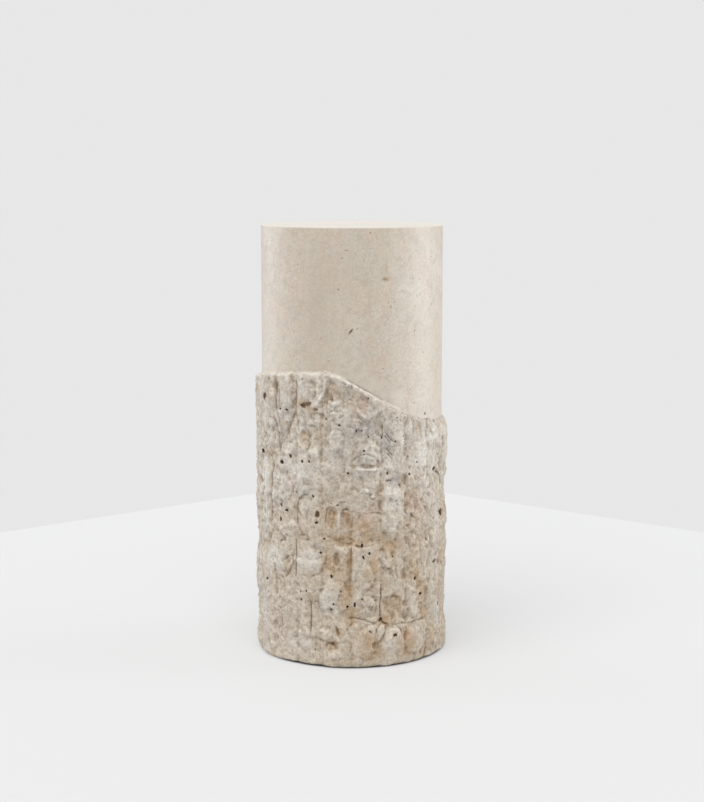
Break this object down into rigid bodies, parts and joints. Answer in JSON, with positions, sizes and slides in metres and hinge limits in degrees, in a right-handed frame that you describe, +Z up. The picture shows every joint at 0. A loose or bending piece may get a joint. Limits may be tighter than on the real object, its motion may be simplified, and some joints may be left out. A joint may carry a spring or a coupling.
{
  "type": "pedestal column",
  "caption": "Solid round travertine pedestal: honed drum above, rough-hewn lower part with kerfs and broken stone under a sloping edge, flat top and sawn underside.",
  "frame": {"origin": "centre of the flat sawn underside, on the honed drum's axis, at the level of the ground", "axes": "+Z up along the drum's axis to the flat top; -Y towards the viewer of the picture, where the rough skirt's edge slopes down from left to right; +X to that viewer's right"},
  "size_m": [0.3218, 0.3228, 0.71],
  "materials": {
    "travertine": "honed to a soft satin on the upper drum and top; split, kerfed and porous on the lower part"
  },
  "bodies": {
    "root": {"pedestal_column": "travertine"}
  },
  "joints": []
}
